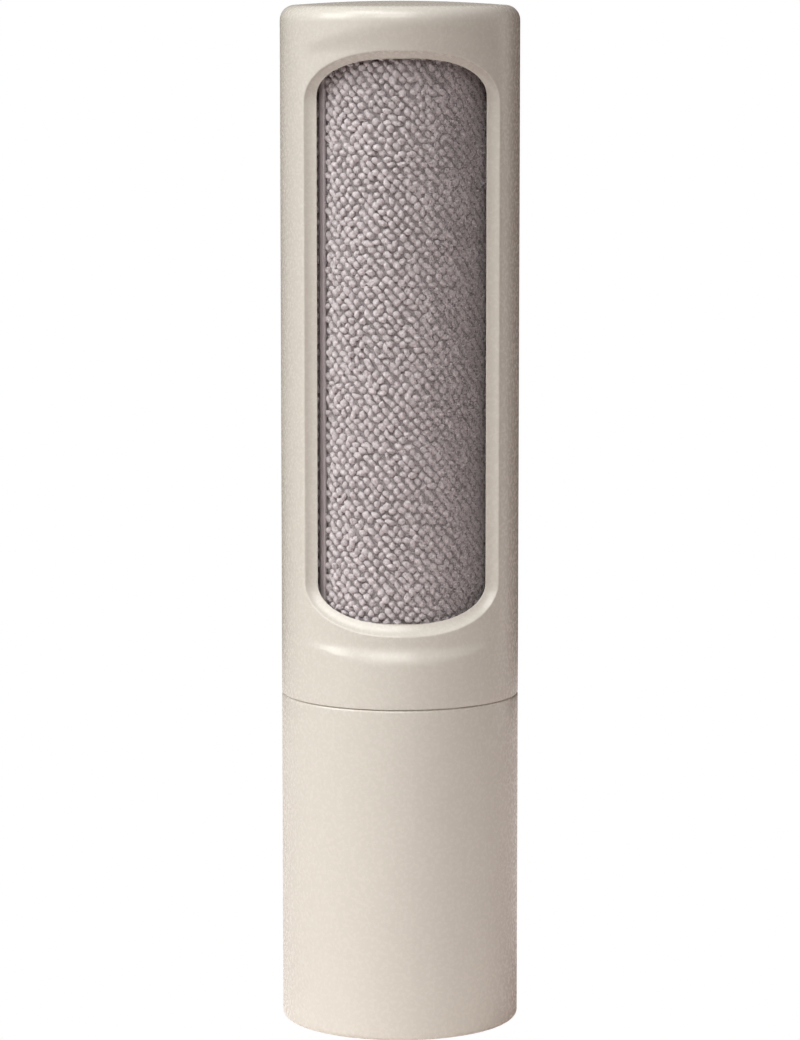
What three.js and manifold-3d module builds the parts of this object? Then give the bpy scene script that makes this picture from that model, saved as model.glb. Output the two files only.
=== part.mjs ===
// A self-cleaning fabric lint roller, in millimetres, +Z up, standing on its base. The window faces -Y.
// Twisting the casing against the handle turns the fabric drum past a comb inside the casing. The lint falls
// through the bearing plate and the collar into the handle, which pulls off to be emptied.
import * as THREE from "three";
import { mergeVertices } from "three/addons/utils/BufferGeometryUtils.js";
import Module from "manifold-3d";

const wasm = await Module();
wasm.setup();

// Shells
const SHELL_R = 24; // outer radius of the casing and the handle
const BORE_R = 22; // inner radius of both
const JOINT_Z = 67.5; // where the casing meets the handle
const SEAM = 0.3; // gap between the two shells
const EDGE = 0.35; // chamfer on both sides of that gap
const TOP_Z = 206.9; // top of the crown
const CROWN = 0.8; // height of the crown over the top's edge
const CROWN_STEP = 0.6; // where its profile has a point, as a share of its radius
const TOP_FILLET = 3;
const CASING_ROOF_Z = 203.8; // underside of the casing's top
const ROOF_FILLET = 2; // inside the casing's top
const FLOOR_Z = 3; // inside floor of the handle
const RIM_Z = 0.3; // lower edge of the handle, above the pad
const BASE_FILLET = 1;
const FLOOR_FILLET = 2.5; // inside the handle

// Window: outlines in the angle round the axis and the height, whose elliptical corners span the angle
// corner. A lip slopes from the face down to the brow, and a steep wall goes on from there to the rim.
const RIM_R = 20.8; // inner radius of the rolled-in rim
const BROW_R = 21.7;
const RIM_GROW = { angle: 5, z: 1.8 }; // how far the thick rim reaches past the window
const WINDOW_RIM = { half: 54.3, corner: 48.5, bottom: 84.3, top: 195.8, lowCorner: 7.2, highCorner: 7.5 };
const WINDOW_BROW = { half: 50.3, corner: 44.8, bottom: 84.2, top: 195.9, lowCorner: 7.3, highCorner: 7.6 };
const WINDOW_FACE = { half: 54, corner: 48.5, bottom: 82.05, top: 197.4, lowCorner: 9.8, highCorner: 10.4 };
const CORNER_STEPS = 7;

// Shallow scoop in the casing's face around the window
const SCOOP = { depth: 1.3, half: 56, foot: 80.2, footRun: 4.2, head: 197, headRun: 6.1 };

// Drum
const FABRIC_R = 20;
const FABRIC_THICK = 1.2;
const DRUM_LOW = 82.8; // ends of the core and the fabric
const DRUM_HIGH = 199;
const CORE_R = 18.6;
const CORE_WALL = 1.8;
const STRIP_AT = -52.8; // where the strip over the fabric's seam lies, in degrees from the window's middle
const STRIP_HALF = 2.2;
const STRIP_DROP = 0.1; // how far the strip lies below the fabric's surface
const SLOT_HALF = 3.1; // half width of the slot that the strip lies in
const CAP = { flange: 0.8, lift: 0.2, proud: 0.1, plug: 5, wall: 1.8, web: 1.5, hubR: 6, hub: 11 };
const DRUM_PIN = { r: 1, half: 5.7, z: 90 }; // locks the lower cap to the axle

// Comb behind the drum, with distances from the axis
const COMB = { low: 86, high: 194, width: 2.6, back: 21.65, root: 21.05, tip: 20.35, pitch: 3 };
const RAIL = 1.2; // width of the ribs that hold the comb

// Axle and bearings
const AXLE = { r: 3, low: 63.8, hexHigh: 72.85, join: 0.5, high: 203.2, chamfer: 0.4 };
const TAPPED = { r: 1.7, depth: 9 }; // hole in the axle's foot for the hub screw
const GROOVE = { r: 2.3, low: 200.1, high: 200.8 }; // for the clip at the axle's top
const CLIP = { inner: 2.55, r: 5.2, low: 200.25, high: 200.65, mouth: 3.6 };
const BUSH = { bore: 3.25, r: 5, flangeR: 6.6, flange: 1 };
const TOP_BUSH = { low: 201, high: 203.5 };
const SEAT = { wall: 1.7, low: 201.3 }; // ring under the casing's roof that holds the top bush
const LOWER_BUSH_LOW = 73;
const WASHER = { low: 78, high: 78.8 };
const CAP_FOOT = 79.1; // where the lower cap's hub stands on the washer

// Plate that carries the lower bush, screwed to three bosses in the casing
const PLATE = { low: 74, high: 76.4, r: 21.7, rimR: 20.2, bossR: 6.8, bossDrop: 0.7, earR: 2.7 };
const BOSS = { r: 2.6, high: 4.5, hole: 1.5, depth: 3.9 };
const SCREW_CIRCLE = 18.9;
const SPOKE_ANGLES = [90, 210, 330]; // counter-clockwise from +X
const SPOKE_WIDTH = 4;
const PLATE_SCREW = { headR: 2.5, head: 1.5, shankR: 1.2, low: 72.2, high: 80 };

// Collar that the handle pulls off
const COLLAR = { r: 21.6, inner: 19, low: 54.5, high: 71.5, lead: 0.8 };
const HUB = { r: 6.5, low: 61.5, high: 72.7, socket: 3.35, screwHole: 1.8 };
const SPOKE = { low: 64, high: 68.5 };
const SEAL_Z = 58.4; // ring that seals against the handle
const FRICTION_Z = 69.6; // ring that drags on the casing
const RING = { at: 21, r: 0.75, groove: 20.05, half: 1.1 };
const KEY = { angles: [30, 150, 270], width: 3, root: 20.6, r: 22.6, low: 62, high: 66.8 }; // turn the collar
const HUB_SCREW = { headR: 3, head: 1.6, shankR: 1.4, low: 59.6, high: 71.5 };

const PAD = { r: 19, high: 1, edge: 0.3 };
const GAP = 0.3; // gap between pieces that touch
const THROUGH = 1; // how far a cutter runs past what it cuts
const CUTTER = { from: 12, to: 36 }; // radii between which the window's cutter reaches

const SHELL_SIDES = 60;
const DRUM_SIDES = 40;
const SMALL_SIDES = 20;
const PIN_SIDES = 16;
const SCREW_SIDES = 14;
const HOLE_SIDES = 12;

const MATERIAL = {
  shell: new THREE.MeshStandardMaterial({ color: 0xd8cfc2, roughness: 0.5, metalness: 0 }),
  inner: new THREE.MeshStandardMaterial({ color: 0x8c857e, roughness: 0.6, metalness: 0 }),
  fabric: new THREE.MeshStandardMaterial({ color: 0xa99c9a, roughness: 0.95, metalness: 0 }),
  strip: new THREE.MeshStandardMaterial({ color: 0x8f8887, roughness: 0.55, metalness: 0 }),
  acetal: new THREE.MeshStandardMaterial({ color: 0xe9e7e1, roughness: 0.4, metalness: 0 }),
  steel: new THREE.MeshStandardMaterial({ color: 0xb9bbbe, roughness: 0.3, metalness: 1 }),
  rubber: new THREE.MeshStandardMaterial({ color: 0x35322f, roughness: 0.85, metalness: 0 }),
};

const rad = THREE.MathUtils.degToRad;

// ---- closed solids ----

function solid(geometry) {
  geometry.deleteAttribute("normal");
  geometry.deleteAttribute("uv");
  const merged = mergeVertices(geometry, 1e-3);
  return new wasm.Manifold(
    new wasm.Mesh({
      numProp: 3,
      vertProperties: merged.attributes.position.array,
      triVerts: new Uint32Array(merged.index.array),
    }),
  );
}

function meshOf(name, shape, material) {
  const made = shape.getMesh();
  const geometry = new THREE.BufferGeometry();
  geometry.setAttribute("position", new THREE.BufferAttribute(made.vertProperties, 3));
  geometry.setIndex(new THREE.BufferAttribute(made.triVerts, 1));
  geometry.computeVertexNormals();
  const mesh = new THREE.Mesh(geometry, material);
  mesh.name = name;
  return mesh;
}

// A solid turned round +Z from [radius, height] points that run counter-clockwise: up the outside and down
// the inside.
function turned(points, sides = SHELL_SIDES) {
  const profile = points.map(([r, z]) => new THREE.Vector2(r, z));
  const onAxis = points[0][0] === 0 && points.at(-1)[0] === 0;
  if (!onAxis) profile.push(profile[0].clone());
  return solid(new THREE.LatheGeometry(profile, sides).rotateX(Math.PI / 2));
}

function tube(inner, outer, low, high, sides = SHELL_SIDES) {
  return turned([[inner, low], [outer, low], [outer, high], [inner, high]], sides);
}

function rod(r, low, high, sides = SMALL_SIDES) {
  return turned([[0, low], [r, low], [r, high], [0, high]], sides);
}

function torus(at, r, z, sides, roundSides) {
  const points = [];
  for (let i = 0; i < roundSides; i++) {
    const a = (2 * Math.PI * i) / roundSides;
    points.push([at + r * Math.cos(a), z + r * Math.sin(a)]);
  }
  return turned(points, sides);
}

// A box that reaches from radius r0 to r1 along the angle, counter-clockwise from +X.
function bar(r0, r1, width, low, high, angle) {
  const box = new THREE.BoxGeometry(r1 - r0, width, high - low);
  box.translate((r0 + r1) / 2, 0, (low + high) / 2).rotateZ(rad(angle));
  return solid(box);
}

// A rod across the axis, along X.
function crossRod(r, half, z) {
  return solid(new THREE.CylinderGeometry(r, r, 2 * half, PIN_SIDES).rotateZ(Math.PI / 2).translate(0, 0, z));
}

function union(shapes) {
  return shapes.reduce((all, shape) => all.add(shape));
}

// An arc of profile points about a centre, from one angle to another, in degrees.
function arc(r, z, radius, from, to, steps) {
  const points = [];
  for (let i = 0; i <= steps; i++) {
    const a = rad(from + ((to - from) * i) / steps);
    points.push([r + radius * Math.cos(a), z + radius * Math.sin(a)]);
  }
  return points;
}

// ---- the window ----

// Points of the window's outline, as [degrees from the middle, height], counter-clockwise from outside.
function outline({ half, corner, bottom, top, lowCorner, highCorner }) {
  const points = [];
  const corners = [
    { side: 1, z: top - highCorner, height: highCorner, from: 0 },
    { side: -1, z: top - highCorner, height: highCorner, from: 90 },
    { side: -1, z: bottom + lowCorner, height: lowCorner, from: 180 },
    { side: 1, z: bottom + lowCorner, height: lowCorner, from: 270 },
  ];
  for (const { side, z, height, from } of corners) {
    for (let i = 0; i <= CORNER_STEPS; i++) {
      const a = rad(from + (90 * i) / CORNER_STEPS);
      const angle = side * (half - corner) + corner * Math.cos(a);
      points.push([angle, z + height * Math.sin(a)]);
    }
  }
  return points;
}

// The solid that lofts outlines, each at its own radius from the axis.
function loft(levels) {
  const count = levels[0].points.length;
  const positions = [];
  const index = [];
  const place = (r, angle, z) => positions.push(r * Math.sin(rad(angle)), -r * Math.cos(rad(angle)), z);
  for (const { r, points } of levels) points.forEach(([angle, z]) => place(r, angle, z));
  for (let level = 0; level + 1 < levels.length; level++) {
    for (let i = 0; i < count; i++) {
      const a = level * count + i;
      const b = level * count + ((i + 1) % count);
      index.push(a, b, b + count, a, b + count, a + count);
    }
  }
  const middle = (WINDOW_RIM.bottom + WINDOW_RIM.top) / 2;
  const [first, last] = [levels[0], levels.at(-1)];
  const inner = positions.length / 3;
  place(first.r, 0, middle);
  place(last.r, 0, middle);
  const start = (levels.length - 1) * count;
  for (let i = 0; i < count; i++) {
    const next = (i + 1) % count;
    index.push(inner, next, i, inner + 1, start + i, start + next);
  }
  const geometry = new THREE.BufferGeometry();
  geometry.setAttribute("position", new THREE.Float32BufferAttribute(positions, 3));
  geometry.setIndex(index);
  return solid(geometry);
}

function windowCutter() {
  const [rim, brow, face] = [outline(WINDOW_RIM), outline(WINDOW_BROW), outline(WINDOW_FACE)];
  return loft([
    { r: CUTTER.from, points: rim },
    { r: RIM_R, points: rim },
    { r: BROW_R, points: brow },
    { r: SHELL_R, points: face },
    { r: CUTTER.to, points: face },
  ]);
}

// The part of a thin shell that stands round the window, before the window is cut.
function rolledRim() {
  const grownLow = WINDOW_RIM.bottom - RIM_GROW.z;
  const grown = outline({
    ...WINDOW_RIM,
    half: WINDOW_RIM.half + RIM_GROW.angle,
    bottom: grownLow,
    top: WINDOW_RIM.top + RIM_GROW.z,
  });
  const shell = tube(RIM_R, BORE_R + GAP, grownLow - THROUGH, CASING_ROOF_Z);
  return shell.intersect(loft([{ r: CUTTER.from, points: grown }, { r: CUTTER.to, points: grown }]));
}

// ---- casing body ----

function smoothstep(t) {
  const s = Math.min(Math.max(t, 0), 1);
  return s * s * (3 - 2 * s);
}

// Depth of the scoop at an angle from the window's middle and a height.
function scoopDepth(angle, z) {
  const across = 1 - (angle / SCOOP.half) ** 2;
  if (across <= 0) return 0;
  const rise = smoothstep(1 - (SCOOP.foot - z) / (SCOOP.footRun * across));
  const fall = smoothstep(1 - (z - SCOOP.head) / (SCOOP.headRun * across));
  return SCOOP.depth * across * rise * fall;
}

function rows(low, high, count) {
  return Array.from({ length: count }, (_, i) => low + ((high - low) * (i + 1)) / (count + 1));
}

function casingOutside() {
  const low = JOINT_Z + SEAM / 2;
  const shoulder = TOP_Z - CROWN - TOP_FILLET;
  const heights = [
    SCOOP.foot - SCOOP.footRun,
    ...rows(SCOOP.foot - SCOOP.footRun, SCOOP.foot, 4),
    SCOOP.foot,
    ...rows(SCOOP.foot, SCOOP.head, 1),
    SCOOP.head,
    ...rows(SCOOP.head, shoulder, 3),
  ];
  const crownR = SHELL_R - TOP_FILLET;
  const profile = [
    [0, low],
    [SHELL_R - EDGE, low],
    [SHELL_R, low + EDGE],
    ...heights.map((z) => [SHELL_R, z]),
    ...arc(crownR, shoulder, TOP_FILLET, 0, 90, 4),
    [crownR * CROWN_STEP, TOP_Z - CROWN * CROWN_STEP ** 2],
    [0, TOP_Z],
  ];
  const lathe = new THREE.LatheGeometry(profile.map(([r, z]) => new THREE.Vector2(r, z)), SHELL_SIDES);
  lathe.rotateX(Math.PI / 2);
  const place = lathe.attributes.position;
  for (let i = 0; i < place.count; i++) {
    const [x, y, z] = [place.getX(i), place.getY(i), place.getZ(i)];
    if (Math.hypot(x, y) < SHELL_R - 0.01) continue;
    const angle = THREE.MathUtils.radToDeg(Math.atan2(x, -y));
    const scale = 1 - scoopDepth(angle, z) / SHELL_R;
    place.setXY(i, x * scale, y * scale);
  }
  return solid(lathe);
}

// A rod that stands where one of the plate's screws is.
function onScrewCircle(r, low, high, angle, sides = PIN_SIDES) {
  const made = new THREE.CylinderGeometry(r, r, high - low, sides).rotateX(Math.PI / 2);
  return solid(made.translate(SCREW_CIRCLE, 0, (low + high) / 2).rotateZ(rad(angle)));
}

function screwHole(angle, low, high) {
  return onScrewCircle(BOSS.hole, low, high, angle, HOLE_SIDES);
}

function screwBoss(angle) {
  const low = PLATE.high + GAP;
  const web = bar(SCREW_CIRCLE, BORE_R + GAP, SPOKE_WIDTH, low, low + BOSS.high, angle);
  return onScrewCircle(BOSS.r, low, low + BOSS.high, angle).add(web);
}

function casing() {
  const low = JOINT_Z + SEAM / 2;
  const bore = turned([
    [0, low - THROUGH],
    [BORE_R, low - THROUGH],
    ...arc(BORE_R - ROOF_FILLET, CASING_ROOF_Z - ROOF_FILLET, ROOF_FILLET, 0, 90, 3),
    [0, CASING_ROOF_Z],
  ]);
  const seatR = BUSH.r + GAP;
  const seat = tube(seatR, seatR + SEAT.wall, SEAT.low, CASING_ROOF_Z + GAP, SMALL_SIDES);
  const railAt = (COMB.width + RAIL) / 2 + GAP;
  const rails = [-railAt, railAt].map((x) => {
    const rail = new THREE.BoxGeometry(RAIL, RAIL, COMB.high - COMB.low);
    return solid(rail.translate(x, BORE_R + GAP - RAIL / 2, (COMB.low + COMB.high) / 2));
  });
  const bosses = SPOKE_ANGLES.map(screwBoss);
  const holes = SPOKE_ANGLES.map((a) => screwHole(a, PLATE.high, PLATE.high + BOSS.depth));
  const shell = casingOutside().subtract(bore);
  return union([shell, rolledRim(), seat, ...rails, ...bosses])
    .subtract(windowCutter())
    .subtract(union(holes));
}

// A straight bar with a row of teeth that rake the fabric, behind the drum.
function cleaningComb() {
  const shape = new THREE.Shape();
  shape.moveTo(COMB.back, COMB.low);
  shape.lineTo(COMB.back, COMB.high);
  shape.lineTo(COMB.root, COMB.high);
  for (let z = COMB.high - COMB.pitch / 2; z > COMB.low; z -= COMB.pitch) {
    shape.lineTo(COMB.root, z + COMB.pitch / 4);
    shape.lineTo(COMB.tip, z);
    shape.lineTo(COMB.root, z - COMB.pitch / 4);
  }
  shape.lineTo(COMB.root, COMB.low);
  const made = new THREE.ExtrudeGeometry(shape, { depth: COMB.width, bevelEnabled: false });
  // The shape's x is the distance behind the axis, its y the height, and the extrusion runs across.
  made.translate(0, 0, -COMB.width / 2).rotateX(Math.PI / 2).rotateZ(Math.PI / 2);
  return solid(made);
}

function topBush() {
  return tube(BUSH.bore, BUSH.r, TOP_BUSH.low, TOP_BUSH.high, SMALL_SIDES);
}

function lowerBush() {
  const seat = PLATE.high + GAP;
  const body = tube(BUSH.bore, BUSH.r, LOWER_BUSH_LOW, seat + BUSH.flange, SMALL_SIDES);
  return body.add(tube(BUSH.bore, BUSH.flangeR, seat, seat + BUSH.flange, SMALL_SIDES));
}

// The spoked plate that closes the casing and carries the lower bush, with openings for the lint.
function bearingPlate() {
  const { low, high } = PLATE;
  const rim = tube(PLATE.rimR, PLATE.r, low, high);
  const boss = rod(PLATE.bossR, low - PLATE.bossDrop, high);
  const spokes = SPOKE_ANGLES.map((a) => bar(0, PLATE.rimR + GAP, SPOKE_WIDTH, low, high, a));
  const ears = SPOKE_ANGLES.map((a) => onScrewCircle(PLATE.earR, low, high, a));
  const holes = SPOKE_ANGLES.map((a) => screwHole(a, low - THROUGH, high + THROUGH));
  return union([rim, boss, ...spokes, ...ears])
    .subtract(rod(BUSH.r + GAP, low - PLATE.bossDrop - THROUGH, high + THROUGH))
    .subtract(union(holes));
}

// A pan-head screw that points up, with a cross recess in its head.
function screw({ headR, head, shankR, low, high }) {
  const profile = [
    [0, low],
    [headR * 0.75, low],
    [headR, low + head * 0.5],
    [headR, low + head],
    [shankR, low + head],
    [shankR, high - shankR * 0.6],
    [shankR * 0.4, high],
    [0, high],
  ];
  const slot = (width, length) => solid(new THREE.BoxGeometry(width, length, head).translate(0, 0, low));
  return turned(profile, SCREW_SIDES).subtract(slot(headR * 0.2, headR).add(slot(headR, headR * 0.2)));
}

function plateScrew(angle) {
  return screw(PLATE_SCREW).translate([SCREW_CIRCLE, 0, 0]).rotate([0, 0, angle]);
}

// ---- drive body: the drum, its axle and the collar that the handle turns ----

function axle() {
  const hex = rod(AXLE.r, AXLE.low, AXLE.hexHigh + AXLE.join, 6);
  const round = turned(
    [
      [0, AXLE.hexHigh],
      [AXLE.r, AXLE.hexHigh],
      [AXLE.r, GROOVE.low],
      [GROOVE.r, GROOVE.low],
      [GROOVE.r, GROOVE.high],
      [AXLE.r, GROOVE.high],
      [AXLE.r, AXLE.high - AXLE.chamfer],
      [AXLE.r - AXLE.chamfer, AXLE.high],
      [0, AXLE.high],
    ],
    SMALL_SIDES,
  );
  const tapped = rod(TAPPED.r, AXLE.low - THROUGH, AXLE.low + TAPPED.depth, HOLE_SIDES);
  const pinHole = crossRod(DRUM_PIN.r + GAP, AXLE.r + THROUGH, DRUM_PIN.z);
  return hex.add(round).subtract(tapped).subtract(pinHole);
}

function axleClip() {
  const clip = tube(CLIP.inner, CLIP.r, CLIP.low, CLIP.high, SMALL_SIDES);
  return clip.subtract(bar(0, CLIP.r + THROUGH, CLIP.mouth, CLIP.low - THROUGH, CLIP.high + THROUGH, 90));
}

function drumCore() {
  return tube(CORE_R - CORE_WALL, CORE_R, DRUM_LOW, DRUM_HIGH, DRUM_SIDES);
}

// The lower and upper caps share one profile: a flange over the fabric's end, a plug in the core and a hub.
function drumCap(end, into, hubOut) {
  const at = (distance) => end + into * distance;
  const plugR = CORE_R - CORE_WALL - GAP;
  const boreR = AXLE.r + GAP;
  const points = [
    [boreR, at(-hubOut)],
    [CAP.hubR, at(-hubOut)],
    [CAP.hubR, at(-CAP.lift - CAP.flange)],
    [FABRIC_R, at(-CAP.lift - CAP.flange)],
    [FABRIC_R, at(-CAP.lift)],
    [plugR, at(-CAP.lift)],
    [plugR, at(CAP.plug)],
    [plugR - CAP.wall, at(CAP.plug)],
    [plugR - CAP.wall, at(CAP.web)],
    [CAP.hubR, at(CAP.web)],
    [CAP.hubR, at(CAP.hub)],
    [boreR, at(CAP.hub)],
  ];
  return turned(into > 0 ? points : points.reverse(), DRUM_SIDES);
}

function drumCapLower() {
  const pinHole = crossRod(DRUM_PIN.r + GAP, CAP.hubR + THROUGH, DRUM_PIN.z);
  return drumCap(DRUM_LOW, 1, DRUM_LOW - CAP_FOOT).subtract(pinHole);
}

function drumCapUpper() {
  return drumCap(DRUM_HIGH, -1, CAP.lift + CAP.flange + CAP.proud);
}

// A wedge from the axis outwards, centred on an angle from the window's middle.
function wedge(centre, half, low, high) {
  const reach = 2 * FABRIC_R;
  const corner = (angle) => [reach * Math.sin(rad(angle)), -reach * Math.cos(rad(angle))];
  const shape = new THREE.Shape();
  shape.moveTo(0, 0);
  shape.lineTo(...corner(centre - half));
  shape.lineTo(...corner(centre + half));
  shape.closePath();
  const made = new THREE.ExtrudeGeometry(shape, { depth: high - low, bevelEnabled: false });
  return solid(made.translate(0, 0, low));
}

function fabricCover() {
  const sleeve = tube(FABRIC_R - FABRIC_THICK, FABRIC_R, DRUM_LOW, DRUM_HIGH, DRUM_SIDES);
  return sleeve.subtract(wedge(STRIP_AT, SLOT_HALF, DRUM_LOW - THROUGH, DRUM_HIGH + THROUGH));
}

function seamStrip() {
  const sleeve = tube(FABRIC_R - FABRIC_THICK, FABRIC_R - STRIP_DROP, DRUM_LOW, DRUM_HIGH, DRUM_SIDES);
  return sleeve.intersect(wedge(STRIP_AT, STRIP_HALF, DRUM_LOW - THROUGH, DRUM_HIGH + THROUGH));
}

function collar() {
  const groove = (z) => [
    [COLLAR.r, z - RING.half],
    [RING.groove, z - RING.half],
    [RING.groove, z + RING.half],
    [COLLAR.r, z + RING.half],
  ];
  const ring = turned([
    [COLLAR.inner, COLLAR.low],
    [COLLAR.r - COLLAR.lead, COLLAR.low],
    [COLLAR.r, COLLAR.low + COLLAR.lead],
    ...groove(SEAL_Z),
    ...groove(FRICTION_Z),
    [COLLAR.r, COLLAR.high],
    [COLLAR.inner, COLLAR.high],
  ]);
  const reach = COLLAR.inner + GAP;
  const spokes = SPOKE_ANGLES.map((a) => bar(0, reach, SPOKE_WIDTH, SPOKE.low, SPOKE.high, a));
  const keys = KEY.angles.map((a) => bar(KEY.root, KEY.r, KEY.width, KEY.low, KEY.high, a));
  const socket = rod(HUB.socket, AXLE.low - GAP, HUB.high + THROUGH, 6);
  return union([ring, rod(HUB.r, HUB.low, HUB.high), ...spokes, ...keys])
    .subtract(socket)
    .subtract(rod(HUB.screwHole, HUB.low - THROUGH, AXLE.low, HOLE_SIDES));
}

// ---- handle body ----

function handleCup() {
  const high = JOINT_Z - SEAM / 2;
  const padR = PAD.r + GAP;
  const baseR = SHELL_R - BASE_FILLET;
  const floorR = BORE_R - FLOOR_FILLET;
  const cup = turned([
    [0, PAD.high + GAP],
    [padR, PAD.high + GAP],
    [padR, RIM_Z],
    ...arc(baseR, RIM_Z + BASE_FILLET, BASE_FILLET, -90, 0, 3),
    [SHELL_R, high - EDGE],
    [SHELL_R - EDGE, high],
    [BORE_R + GAP, high],
    [BORE_R, high - 2 * GAP],
    ...arc(floorR, FLOOR_Z + FLOOR_FILLET, FLOOR_FILLET, 0, -90, 2),
    [0, FLOOR_Z],
  ]);
  const width = KEY.width + 2 * GAP;
  const slot = (a) => bar(BORE_R - THROUGH, KEY.r + GAP, width, KEY.low - GAP, high + THROUGH, a);
  return cup.subtract(union(KEY.angles.map(slot)));
}

function basePad() {
  return turned([[0, 0], [PAD.r - PAD.edge, 0], [PAD.r, PAD.edge], [PAD.r, PAD.high], [0, PAD.high]]);
}

// ---- assembly ----

function bodyOf(pieces) {
  const group = new THREE.Group();
  for (const [name, shape, material] of pieces) group.add(meshOf(name, shape, MATERIAL[material]));
  return group;
}

const handle = bodyOf([
  ["handle_cup", handleCup(), "shell"],
  ["base_pad", basePad(), "rubber"],
]);

const drive = bodyOf([
  ["drive_collar", collar(), "inner"],
  ["seal_ring", torus(RING.at, RING.r, SEAL_Z, DRUM_SIDES, 6), "rubber"],
  ["friction_ring", torus(RING.at, RING.r, FRICTION_Z, DRUM_SIDES, 6), "rubber"],
  ["axle", axle(), "steel"],
  ["hub_screw", screw(HUB_SCREW), "steel"],
  ["drum_pin", crossRod(DRUM_PIN.r, DRUM_PIN.half, DRUM_PIN.z), "steel"],
  ["thrust_washer", tube(BUSH.bore, BUSH.flangeR, WASHER.low, WASHER.high, SMALL_SIDES), "acetal"],
  ["axle_clip", axleClip(), "steel"],
  ["drum_core", drumCore(), "inner"],
  ["drum_cap_lower", drumCapLower(), "inner"],
  ["drum_cap_upper", drumCapUpper(), "inner"],
  ["fabric_cover", fabricCover(), "fabric"],
  ["seam_strip", seamStrip(), "strip"],
]);

const upper = bodyOf([
  ["casing", casing(), "shell"],
  ["cleaning_comb", cleaningComb(), "inner"],
  ["top_bush", topBush(), "acetal"],
  ["lower_bush", lowerBush(), "acetal"],
  ["bearing_plate", bearingPlate(), "inner"],
  ...SPOKE_ANGLES.map((angle, i) => ["plate_screw_" + (i + 1), plateScrew(angle), "steel"]),
]);

const roller = new THREE.Group();
roller.add(handle, drive, upper);

export default roller;
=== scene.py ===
import math

import bmesh
import bpy
import numpy as np
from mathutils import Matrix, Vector


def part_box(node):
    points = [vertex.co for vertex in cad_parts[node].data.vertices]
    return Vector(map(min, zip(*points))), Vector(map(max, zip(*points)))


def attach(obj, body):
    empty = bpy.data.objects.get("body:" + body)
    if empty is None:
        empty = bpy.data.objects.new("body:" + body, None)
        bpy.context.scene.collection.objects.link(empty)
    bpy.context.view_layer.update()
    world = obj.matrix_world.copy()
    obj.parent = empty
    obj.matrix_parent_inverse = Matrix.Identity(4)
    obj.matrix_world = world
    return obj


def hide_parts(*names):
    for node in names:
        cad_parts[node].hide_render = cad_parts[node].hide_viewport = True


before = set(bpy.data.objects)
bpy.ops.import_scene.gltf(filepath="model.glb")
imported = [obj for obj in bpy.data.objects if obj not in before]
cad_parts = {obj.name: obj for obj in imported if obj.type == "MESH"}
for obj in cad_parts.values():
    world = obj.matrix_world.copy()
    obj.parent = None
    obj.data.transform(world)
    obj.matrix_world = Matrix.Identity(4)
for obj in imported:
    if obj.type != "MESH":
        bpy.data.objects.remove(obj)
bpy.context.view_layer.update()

# Lengths are in millimetres, with heights along +Z. Angles are in degrees round the axis, from the window's
# middle (-Y) towards +X. Only the stage is in metres.
MM = 0.001


def box_mm(node):
    """A CAD node's lowest and highest corners."""
    low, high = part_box(node)
    return np.array(low) / MM, np.array(high) / MM


CASING_LOW, CASING_HIGH = box_mm("casing")
CUP_LOW, CUP_HIGH = box_mm("handle_cup")
FABRIC_LOW, FABRIC_HIGH = box_mm("fabric_cover")
PAD_HIGH = box_mm("base_pad")[1]

# Shells
SHELL_R = CASING_HIGH[0]
BORE_R = SHELL_R - 2
SEAM_FILL = 0.11  # how far each shell reaches into the gap between them
CASING_EDGE = 0.12  # rounding of the casing's lower edge
HANDLE_EDGE = 0.6  # rounding of the handle's upper edge
BORE_EDGE = 0.3  # chamfer of both bores where the shells meet
CROWN = 0.8  # height of the crown over the top's edge
CROWN_RADII = (20.4, 1.5)  # of the crown's first and last rings
TOP_FILLET = 3
TOP_Z = CASING_HIGH[2]
SHOULDER_Z = TOP_Z - CROWN - TOP_FILLET
ROOF_Z = SHOULDER_Z + 0.7  # underside of the casing's top
ROOF_FILLET = 2
ROOF_INNER_R = 8  # of the ring where the roof's middle begins
BASE_FILLET = 1
FLOOR_Z = 3  # inside floor of the handle
FLOOR_FILLET = 2.5
FLOOR_INNER_R = 6
PAD_ROOM = 0.3  # between the handle and the pad
PAD_CHAMFER = 0.15  # of the recess that holds the pad
PAD_INNER_R = 5
HANDLE_ROWS = (4, 16, 32, 48, 60)  # heights of the rings on the handle's wall
CONTAINER_Z = 30  # height of a ring in the middle of the container's wall

# Slots for the collar's keys: "half" is half the angle of each, "side" the angle of a steep side, "r" their
# depth as a radius, "low" the height of their foot and "step" the height over which they end there
KEYS = {"angles": (0, 120, 240), "half": 4.6, "side": 0.1, "r": 22.9, "low": 61.7, "step": 0.05}

# Window: outlines in angle and height, with elliptical corners that span the angle "corner" and the heights
# "low" and "high". The lip slopes from the face down to the brow, and a steep wall goes on to the rim.
RIM_R = 20.8
LIP_DEPTH = 2.0
WINDOW_FACE = {"half": 54.0, "corner": 48.5, "bottom": 82.05, "top": 197.4, "low": 9.8, "high": 10.4}
WINDOW_BROW = {"half": 50.3, "corner": 44.8, "bottom": 84.2, "top": 195.9, "low": 7.3, "high": 7.6}
WINDOW_RIM = {"half": 54.3, "corner": 48.5, "bottom": 84.3, "top": 195.8, "low": 7.2, "high": 7.5}
RIM_EDGE = {"half": 59.3, "corner": 48.5, "bottom": 82.5, "top": 197.6, "low": 7.2, "high": 7.5}
RIM_FLARE = 0.3  # how far the rim's flank spreads down to the bore
FRAME_HALF = 66  # half the angle of the patch that holds the window
FRAME_Z = (78.0, 201.0)  # that patch's lower and upper edge
FACE_EDGE = 0.25  # rounding between the face and the lip
BROW_EDGE = 0.15  # rounding between the lip and the steep wall
LIP_CROWN = 0.37  # how far the lip's control points stand off its chord
MARGINS = (1.8, 1.3, 0.9, 0.6, FACE_EDGE)  # distances at which rings follow the window's outline

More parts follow.
